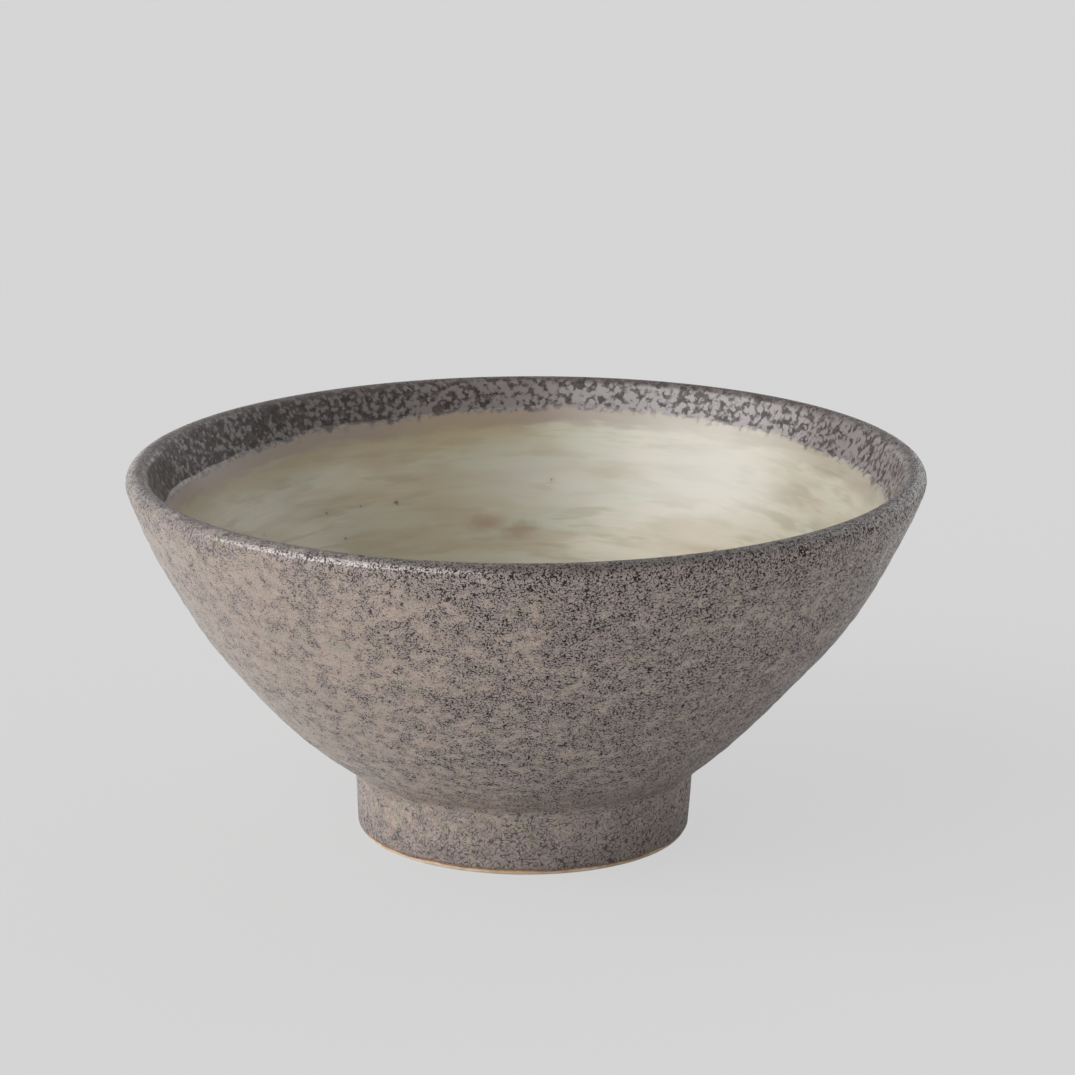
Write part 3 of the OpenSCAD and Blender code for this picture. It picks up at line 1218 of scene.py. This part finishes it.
@dataclass(frozen=True, kw_only=True)
class Finish:
    """A glaze or the bare clay, as one material.

    Attributes:
        name: The material's name.
        shine: Its even values.
        depth: How deep its relief is.
    """

    name: str
    shine: Shine
    depth: float

    def look(self, place: Signal, below: Signal) -> dict[str, object]:
        """Says what the shader gets.

        Args:
            place: The place on the skin, in mm.
            below: How far below the piece's upper edge it is, in mm.

        Returns:
            Values or signals by socket, with underscores for spaces, and the relief as Height.
        """
        raise NotImplementedError

    def material(self) -> bpy.types.Material:
        """Makes the material.

        Returns:
            The material, with its look on one shader.
        """
        made = bpy.data.materials.new(self.name)
        tree, shine = emptied(made), self.shine
        shader = add_node(
            tree,
            "BsdfPrincipled",
            Roughness=shine.roughness,
            Specular_IOR_Level=shine.specular,
            Coat_Roughness=shine.coat_roughness,
            Coat_IOR=shine.coat_ior,
        )
        place = add_node(tree, "Attribute", give="Vector", settings={"attribute_name": SKIN_ATTRIBUTE})
        below = add_node(tree, "Attribute", give="Fac", settings={"attribute_name": EDGE_ATTRIBUTE})
        sockets = self.look(place, below)
        bump = add_node(tree, "Bump", Strength=1.0, Distance=self.depth, Height=sockets.pop("Height"))
        feed(shader.socket.node, Normal=bump, **sockets)
        add_node(tree, "OutputMaterial", shader)
        return made


@dataclass(frozen=True, kw_only=True)
class SpeckledGlaze(Finish):
    """Satin taupe glaze with dark marks, on the wall, the foot and the well.

    Attributes:
        speckle: The speckled look.
        roughness: The roughness of the ground and of the marks.
        coat: The clear skin over the ground and over the marks.
        tuning: What it changes in the look, by input.
    """

    speckle: Speckle
    name: str = "speckled_glaze"
    shine: Shine = Shine(0.38, specular=0.15, coat_roughness=0.34)
    depth: float = 0.06 * MM
    roughness: Span = (0.38, 0.7)
    coat: Span = (1.0, 0.0)
    tuning: tuple[tuple[str, float], ...] = ()

    def look(self, place: Signal, below: Signal) -> dict[str, object]:
        """Shows the speckled look, dull in its marks.

        Args:
            place: The place on the skin, in mm.
            below: Not used, because this look doesn't follow its edge.

        Returns:
            Signals by socket, and the relief.
        """
        shown = self.speckle.place(place, **dict(self.tuning))
        coat, roughness = shown["Mark"].mix(*self.coat), shown["Mark"].mix(*self.roughness)
        colours = {"Base_Color": shown["Colour"], "Height": shown["Height"]}
        return {"Roughness": roughness, "Coat_Weight": coat, **colours}


@dataclass(frozen=True, kw_only=True)
class RimGlaze(Finish):
    """Dark glaze, speckled over the lip and mottled down inside.

    Attributes:
        wall: The glaze that comes up over the lip.
        band: The mottled look.
        roughness: The roughness of the dark ground and of the crystals.
        coat: The clear skin over the ground and over the crystals.
        lip_coat: How the clear skin thins over the crown of the lip, where no marks are.
        ragged: What frays the change from lip to band.
        inside_span: Where the change is, in mm from the crown.
        crystal_height: How high the crystals stand against the marks on the lip.
    """

    wall: SpeckledGlaze
    band: MottledBand
    name: str = "rim_glaze"
    shine: Shine = Shine(0.42, specular=0.25, coat_roughness=0.22, coat_ior=1.95)
    depth: float = 0.12 * MM
    roughness: Span = (0.46, 0.3)
    coat: Span = (0.12, 0.5)
    lip_coat: Span = (-1.5, 0.5, 1.0, 0.15)
    ragged: Noise = Noise(0.7, reach=1.5)
    inside_span: Span = (0.0, 3.0)
    crystal_height: float = 0.5

    def look(self, place: Signal, below: Signal) -> dict[str, object]:
        """Carries the wall's look over the lip and fades it into the mottled band.

        Args:
            place: The place on the skin, in mm.
            below: Not used, because this look goes by the crown of the lip.

        Returns:
            Signals by socket, and the relief.
        """
        lip, band, along = self.wall.speckle.place(place), self.band.place(place), place.part("Z")
        inside = (along + place.swing(self.ragged)).ease(*self.inside_span)
        mark, crystal = lip["Mark"], band["Crystal"]
        lip_coat = mark.mix(along.ease(*self.lip_coat), self.wall.coat[1])
        return {
            "Base_Color": inside.blend(lip["Colour"], band["Colour"]),
            "Roughness": inside.mix(mark.mix(*self.wall.roughness), crystal.mix(*self.roughness)),
            "Coat_Weight": inside.mix(lip_coat, crystal.mix(*self.coat)),
            "Height": inside.mix(lip["Height"], crystal * self.crystal_height),
        }


@dataclass(frozen=True, kw_only=True)
class PaleGlaze(Finish):
    """Glossy celadon cream with brushed streaks and iron specks.

    Attributes:
        wash: The brushed look.
        coat: The clear skin over it.
    """

    wash: PaleWash
    name: str = "pale_glaze"
    shine: Shine = Shine(0.34, coat_roughness=0.28)
    depth: float = 0.1 * MM
    coat: float = 1.0

    def look(self, place: Signal, below: Signal) -> dict[str, object]:
        """Shows the pale wash under its gloss."""
        shown = self.wash.place(place, Below=below)
        return {"Base_Color": shown["Colour"], "Coat_Weight": self.coat, "Height": shown["Streak"]}


@dataclass(frozen=True, kw_only=True)
class OverlapGlaze(PaleGlaze):
    """The brownish band where the pale coat starts over the dark one, with a jagged upper edge.

    Attributes:
        band: The mottled look of the glaze above it.
        jags: What makes the edge jagged.
        crystal_reach: How far a crystal moves it, in mm.
        over_span: Where the pale glaze starts, in mm below the band.
    """

    band: MottledBand
    name: str = "overlap_glaze"
    jags: Noise = Noise(0.4, 1.0, reach=1.9)
    crystal_reach: float = 0.5
    over_span: Span = (0.0, 2.2)

    def look(self, place: Signal, below: Signal) -> dict[str, object]:
        """Ends the mottled band in jags over the start of the pale coat.

        Args:
            place: The place on the skin, in mm.
            below: How far below the dark band's edge it is, in mm.

        Returns:
            Signals by socket, and the relief.
        """
        band, wash = self.band.place(place), self.wash.place(place, Below=below)
        jags = band["Crystal"].line(self.crystal_reach, place.swing(self.jags))
        over = (below + jags).ease(*self.over_span)
        shown = over.blend(band["Colour"], wash["Colour"])
        return {"Base_Color": shown, "Coat_Weight": self.coat, "Height": wash["Streak"] * over}


@dataclass(frozen=True, kw_only=True)
class BareClay(Finish):
    """Fired stoneware clay, pale, with an orange flash beside the glaze.

    Attributes:
        slow: Where the clay is warmer.
        jitter, flash_span: What frays the flash, and how it ends, in mm below the glaze.
        pits: The grog that shows as darker pits.
    """

    name: str = "clay"
    shine: Shine = Shine(0.85)
    depth: float = 0.12 * MM
    slow: Noise = Noise(0.25, 3.0, span=(0.35, 0.65))
    jitter: Noise = Noise(0.7, reach=0.25)
    flash_span: Span = (0.1, 0.6, 0.95, 0.0)
    pits: Noise = Noise(1.8, 3.0, 0.7, span=(0.66, 0.74, 0.0, 0.5))
    pale: Colour = colour(222, 212, 194)
    warm: Colour = colour(206, 189, 164)
    flash: Colour = colour(168, 112, 66)
    grog: Colour = colour(130, 108, 86)

    def look(self, place: Signal, below: Signal) -> dict[str, object]:
        """Grades the clay from the flash at the glaze's edge to its bare colour.

        Args:
            place: The place on the clay, in mm.
            below: How far below the glaze's edge it is, in mm.

        Returns:
            Signals by socket, and the relief.
        """
        ground = place.eased(self.slow).blend(self.pale, self.warm)
        away = below + place.swing(self.jitter)
        ground = away.ease(*self.flash_span).blend(ground, self.flash)
        pits = place.noise(self.pits)
        return {"Base_Color": pits.ease(*self.pits.span).blend(ground, self.grog), "Height": pits}


@dataclass
class ThrownPart:
    """What the bowl's skin and its foot share; at far_below, in mm, an edge's pattern no longer shows."""

    form: ThrownForm
    cover: Coverage
    fine: Fineness
    far_below: float = 50.0

    def __post_init__(self) -> None:
        """Lists the angles round the axis."""
        self.angle = self.fine.angles()

    def layer(self, line: Line, length: Array, lift: Array | float = 0.0) -> tuple[Array, Array]:
        """Turns points off an outline round the axis.

        Args:
            line: The outline.
            length: Lengths along it, in rows, or in one column for all angles.
            lift: Heights over it.

        Returns:
            The places, and the surface coordinates that patterns follow, in mm.
        """
        radius, height = line.at(length, lift)
        x, y = radius * np.cos(self.angle), radius * np.sin(self.angle)
        flat = np.stack(np.broadcast_arrays(x, y, length), axis=-1) / MM
        return self.form.settle(radius, height, self.angle), flat


@dataclass
class GlazedSkin(ThrownPart):
    """The clay bowl and the four coats that lie on its skin, one after the other from foot to middle."""

    def __post_init__(self) -> None:
        """Works out from where to where each coat lies."""
        super().__post_init__()
        form, cover, fine, angle = self.form, self.cover, self.fine, self.angle
        seam = np.full_like(angle, form.joint_s + form.seam()[0])
        lip, pale, over = cover.lip_edge(angle), cover.pale_edge(angle), cover.overlap_edge(angle)
        middle = np.full_like(angle, form.skin.end() - form.centre_r)
        self.coats = {
            "wall_coat": (seam, lip, fine.wall_rows, Topology.RING, lip),
            "rim_coat": (lip, pale, fine.lip_rows, Topology.RING, pale),
            "overlap_coat": (pale, over, fine.band_rows, Topology.RING, pale),
            "inside_coat": (over, middle, fine.inside_rows, Topology.CAPPED, pale),
        }

    def coat(self, name: str) -> Piece:
        """Builds one closed coat.

        Args:
            name: The piece's name.

        Returns:
            The piece.
        """
        start, end, rows, topology, edge = self.coats[name]
        outer = np.linspace(start, end, rows)
        inner = np.maximum(np.linspace(end, start, self.fine.back_rows), self.form.joint_s)
        wide = np.broadcast_to(self.angle, outer.shape)
        top = self.layer(self.form.skin, outer, self.cover.thickness(outer, wide))
        sides = [(*top, outer), (*self.layer(self.form.skin, inner), inner)]
        if topology is Topology.CAPPED:
            sides.reverse()
        places, flats, lengths = (np.concatenate(parts) for parts in zip(*sides))
        return turned_mesh(name, places, flats, (lengths - edge) / MM, topology)

    def clay(self) -> Piece:
        """Builds the clay bowl under the coats.

        Returns:
            The piece.
        """
        form, fine = self.form, self.fine
        under = np.linspace(form.centre_r, form.underside.end(), fine.underside_rows)[:, None]
        lower, _ = self.layer(form.underside, under)
        length = np.linspace(form.joint_s, form.skin.end() - form.centre_r, fine.inside_rows)[1:, None]
        upper, flat = self.layer(form.skin, length)
        rows, skin = np.concatenate([lower, upper]), np.concatenate([lower / MM, flat])
        return turned_mesh("clay_bowl", rows, skin, self.far_below, Topology.CAPPED)


@dataclass
class Foot(ThrownPart):
    """The foot ring, its coat and the coat in the well under the base.

    Attributes:
        groove, groove_pitch: The turning marks on the bare clay, how deep and how far apart.
        groove_fade, flat_fade: How far they fade at the glaze's edge and above the flat that stands.
        top_rows_share: How much closer the coat's rows lie at its upper edge.
        least_roll: The share of its thickness that the coat keeps at its lower edge.
        well_pool_r, well_roll_r: The rounding of the well's glaze in its corner and at its edge.
        well_clear: How far that corner reaches in from the wall.
    """

    groove: float = 0.03 * MM
    groove_pitch: float = 0.9 * MM
    groove_fade: float = 0.2 * MM
    flat_fade: float = 0.05 * MM
    top_rows_share: float = 0.8
    least_roll: float = 0.02
    well_pool_r: float = 1.6 * MM
    well_clear: float = 2.0 * MM
    well_roll_r: float = 0.3 * MM

    def ring(self) -> Piece:
        """Builds the clay ring, with fine turning marks where it is bare.

        Returns:
            The piece.
        """
        form, fine = self.form, self.fine
        length = np.linspace(0.0, form.ring.end(), fine.ring_rows)[:, None]
        _, height = form.ring.at(length)
        down = self.cover.foot_edge(self.angle) - height
        marks = np.sin(FULL_TURN * length / self.groove_pitch + self.angle)
        bare = smooth_between(-self.groove_fade, self.groove_fade, down)
        lift = self.groove * marks * bare * smooth_between(0.0, self.flat_fade, height)
        face, _ = self.layer(form.ring, length, lift)
        under = np.linspace(form.ring_in_r, form.joint_r, fine.seat_rows)[1:-1, None]
        seat = form.settle(under, np.interp(under, *form.underside.points.T), self.angle)
        rows = np.concatenate([face, seat])[::-1]
        below = np.concatenate([down / MM, np.full(seat.shape[:2], self.far_below)])[::-1]
        return turned_mesh("clay_foot_ring", rows, rows / MM, below, Topology.RING)

    def coat(self) -> Piece:
        """Builds the coat on the outside of the foot, with a rolled lower edge.

        Returns:
            The piece.
        """
        form, cover, angle = self.form, self.cover, self.angle
        slant = math.cos(math.atan2(form.foot_taper, form.joint_z))
        end = (form.joint_z - cover.foot_edge(angle)) / slant
        up_wall, down_foot = form.seam()
        share = np.linspace(0.0, 1.0, self.fine.foot_rows)[:, None] ** self.top_rows_share
        length, inner = down_foot + (end - down_foot) * share, end * share[::-1]
        left = end - length
        roll = np.sqrt(1.0 - (1.0 - np.clip(left / cover.roll, 0.0, 1.0)) ** 2)
        lift = form.speckled_t * np.maximum(roll, self.least_roll) + form.pool(length - form.coat_shift())
        top, _ = self.layer(form.ring, length, lift)
        first = np.full_like(angle, form.joint_s + up_wall)
        top[0], _ = self.layer(form.skin, first, cover.thickness(first, angle))
        rows = np.concatenate([top, self.layer(form.ring, inner)[0]])[::-1]
        below = np.concatenate([left, left[::-1]])[::-1] / MM
        skin = rows / MM
        skin[..., 2] = (form.joint_s - np.concatenate([length, inner])[::-1]) / MM
        return turned_mesh("foot_coat", rows, skin, below, Topology.RING)

    def well(self) -> Piece:
        """Builds the coat in the well, from the middle of the base down the ring's inner face.

        Returns:
            The piece.
        """
        form, outline, count = self.form, self._well_outline(), self.fine.ring_rows
        length = np.linspace(form.centre_r, form.well.end() - self.cover.well_bare, count)[:, None]
        back, _ = self.layer(form.well, length)
        top, _ = self.layer(outline, np.linspace(form.centre_r, outline.end(), count)[:, None])
        rows = np.concatenate([top, back[::-1]])
        skin = rows / MM
        skin[..., 2] += (form.joint_s - form.joint_z) / MM
        return turned_mesh("well_coat", rows, skin, self.far_below, Topology.CAPPED)

    def _well_outline(self) -> Line:
        """Offsets the well's outline by the coat and lets the glaze pool in its corner.

        Returns:
            The outline of the coat's open side.
        """
        form, coat = self.form, self.form.speckled_t
        roof = Line(form.well.points[:-1], 0.0, -1.0)
        radius, height = roof.at(roof.lengths(), coat)
        wall_r, low_z = form.ring_in_r - coat, self.cover.well_bare
        corner_z = float(np.interp(wall_r, radius, height))
        flat = np.stack([radius, height], axis=1)[radius < wall_r - self.well_clear]
        side = [
            (*flat[-1], 0.0),
            (wall_r, corner_z, self.well_pool_r),
            (wall_r, low_z + coat, self.well_roll_r),
            (form.ring_in_r, low_z, 0.0),
        ]
        return Line(np.concatenate([flat[:-1], rounded_line(side, form.step)]), 0.0, -1.0)


@dataclass(frozen=True)
class SoftLight:
    """A far light, with where it comes from and how wide it looks from the bowl in degrees."""

    name: str
    azimuth: float
    elevation: float
    width: float
    strength: float

    def make(self) -> Piece:
        """Makes the light.

        Returns:
            The light, linked to the scene.
        """
        data = bpy.data.lights.new(self.name, "SUN")
        data.energy = self.strength
        data.angle = math.radians(self.width)
        made = linked(self.name, data)
        turn, rise = math.radians(self.azimuth), math.radians(self.elevation)
        towards = Vector((math.cos(rise) * math.cos(turn), math.cos(rise) * math.sin(turn), math.sin(rise)))
        made.rotation_euler = towards.to_track_quat("Z", "Y").to_euler()
        return made


@dataclass(frozen=True)
class Studio:
    """A pale floor, soft lights from the left, an even sky and the camera of the photograph.

    Attributes:
        frame_px: The side of the photograph, in pixels.
        axis_px: Where the bowl's axis shows at the height of axis_z, in those pixels.
        focal_px: The focal length, in those pixels.
        sensor: The camera's sensor, in mm.
        axis_z: The height that the camera stands at its distance from.
        distance, elevation, roll: Where it stands and how it is held, in metres and radians.
        floor_size: The floor's side, in metres.
        backdrop, floor_colour: What the camera sees of the sky and of the floor.
        floor_show: The share of the floor that takes light, and so the bowl's shadow.
        lights: The far lights.
        sky_low, sky_lobes: The sky's light from everywhere, and from each side and above.
    """

    frame_px: float = 1075.0
    axis_px: tuple[float, float] = (524.8, 649.2)
    focal_px: float = 4300.0
    sensor: float = 36.0
    axis_z: float = 46.0 * MM
    distance: float = 1.089
    elevation: float = 0.2848
    roll: float = 0.0075
    floor_size: float = 16.0
    backdrop: Colour = colour(214, 214, 214)
    floor_colour: Colour = colour(215, 215, 215)
    floor_show: float = 0.16
    lights: tuple[SoftLight, ...] = (
        SoftLight("wide_light", 211.0, 21.0, 86.0, 3.0),
        SoftLight("window_light", 203.0, 31.0, 44.0, 0.5),
    )
    sky_low: float = 0.03
    sky_lobes: tuple[float, float, float] = (0.46, 0.72, 0.25)

    def camera(self) -> Piece:
        """Places the camera that the photograph was taken with.

        Returns:
            The camera, which the scene uses.
        """
        back = Vector((0.0, -math.cos(self.elevation), math.sin(self.elevation)))
        look = Vector((0.0, 0.0, self.axis_z)) + back * self.distance
        forward, right = -back, Vector((1.0, 0.0, 0.0))
        up = right.cross(forward)
        middle = self.frame_px / 2.0
        roll = Matrix.Rotation(-self.roll, 3, forward)
        right, up = roll @ right, roll @ up
        across = math.atan((self.axis_px[0] - middle) / self.focal_px)
        down = math.atan((self.axis_px[1] - middle) / self.focal_px * math.cos(across))
        turn = Matrix.Rotation(across, 3, up)
        forward, right = turn @ forward, turn @ right
        nod = Matrix.Rotation(down, 3, right)
        forward, up = nod @ forward, nod @ up
        basis = Matrix((right, up, -forward)).transposed().to_4x4()
        data = bpy.data.cameras.new("camera")
        data.sensor_width = self.sensor
        data.lens = self.focal_px / self.frame_px * self.sensor
        made = linked("camera", data)
        made.matrix_world = Matrix.Translation(look) @ basis
        bpy.context.scene.camera = made
        return made

    def sky(self) -> bpy.types.World:
        """Makes the even light all round, which shows as the backdrop's colour.

        Returns:
            The world.
        """
        world = bpy.data.worlds.new("studio")
        bpy.context.scene.world = world
        tree = emptied(world)
        way = add_node(tree, "TexCoord")
        strength = way.vector("MAXIMUM", 0.0).vector("DOT_PRODUCT", self.sky_lobes) + self.sky_low
        light = add_node(tree, "Background", Color=(1.0, 1.0, 1.0, 1.0), Strength=strength)
        shown = add_node(tree, "Background", Color=self.backdrop, Strength=1.0)
        seen = add_node(tree, "LightPath", give="Is Camera Ray")
        add_node(tree, "OutputWorld", seen.then("MixShader", light, shown))
        return world

    def floor(self) -> Piece:
        """Lays the pale floor, which keeps a faint shadow of the bowl.

        Returns:
            The floor.
        """
        half = self.floor_size / 2.0
        mesh = bpy.data.meshes.new("floor")
        corners = [(-half, -half, 0.0), (half, -half, 0.0), (half, half, 0.0), (-half, half, 0.0)]
        mesh.from_pydata(corners, [], [(0, 1, 2, 3)])
        made = linked("floor", mesh)
        material = bpy.data.materials.new("floor")
        tree = emptied(material)
        lit = add_node(tree, "BsdfDiffuse", Color=self.floor_colour)
        shown = add_node(tree, "Emission", Color=self.floor_colour, Strength=1.0)
        share = add_node(tree, "LightPath", give="Is Camera Ray") * (1.0 - self.floor_show)
        add_node(tree, "OutputMaterial", share.then("MixShader", lit, shown))
        mesh.materials.append(material)
        return made


@dataclass
class Bowl:
    """The whole bowl: clay, foot and coats, each riding on the part's one body.

    Attributes:
        foot_tuning: What the foot and the well change in the speckled look, by input.
    """

    foot_tuning: tuple[tuple[str, float], ...] = (
        ("Mark size", 0.62),
        ("Softness", 0.15),
        ("Crowding", 0.04),
        ("Shade", 0.06),
        ("Cloudiness", 0.12),
        ("Least", 0.7),
    )

    def __post_init__(self) -> None:
        """Works out the form and makes the finishes."""
        form = ThrownForm()
        shared = (form, Coverage(form), Fineness())
        self.skin, self.foot = GlazedSkin(*shared), Foot(*shared)
        speckle, band, wash = Speckle(), MottledBand(), PaleWash(form.skin)
        speckled = SpeckledGlaze(speckle=speckle)
        self.speckled = speckled.material()
        lower = SpeckledGlaze(speckle=speckle, name="foot_speckled_glaze", tuning=self.foot_tuning)
        self.lower = lower.material()
        self.rim = RimGlaze(wall=speckled, band=band).material()
        self.overlap = OverlapGlaze(wash=wash, band=band).material()
        self.pale = PaleGlaze(wash=wash).material()
        self.clay = BareClay().material()

    def put(self, piece: Piece, finish: bpy.types.Material, node: str) -> None:
        """Dresses a piece and puts it in the place of its solid.

        Args:
            piece: The piece.
            finish: Its material.
            node: The solid that it stands for.
        """
        piece.data.materials.append(finish)
        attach(piece, BODY)
        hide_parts(node)
        log.info("%s stands for %s: %d faces", piece.name, node, len(piece.data.polygons))

    def build(self) -> None:
        """Builds every piece in the order in which a potter makes it."""
        skin, foot = self.skin, self.foot
        self.put(skin.clay(), self.clay, "bowl_body")
        self.put(foot.ring(), self.clay, "foot_ring")
        self.put(skin.coat("wall_coat"), self.speckled, "wall_glaze")
        self.put(foot.coat(), self.lower, "foot_glaze")
        self.put(skin.coat("rim_coat"), self.rim, "rim_glaze")
        self.put(skin.coat("overlap_coat"), self.overlap, "overlap_glaze")
        self.put(skin.coat("inside_coat"), self.pale, "inside_glaze")
        self.put(foot.well(), self.lower, "well_glaze")


def main() -> None:
    """Builds the bowl and the studio round it, and notes the sizes."""
    logging.basicConfig(level=logging.INFO, format="%(name)s: %(message)s")
    Bowl().build()
    studio = Studio()
    for made in (studio.floor(), studio.camera(), *(light.make() for light in studio.lights)):
        log.info("%s made", made.name)
    studio.sky()
    bpy.context.scene.view_settings.view_transform = "Standard"


if __name__ == "__main__":
    main()
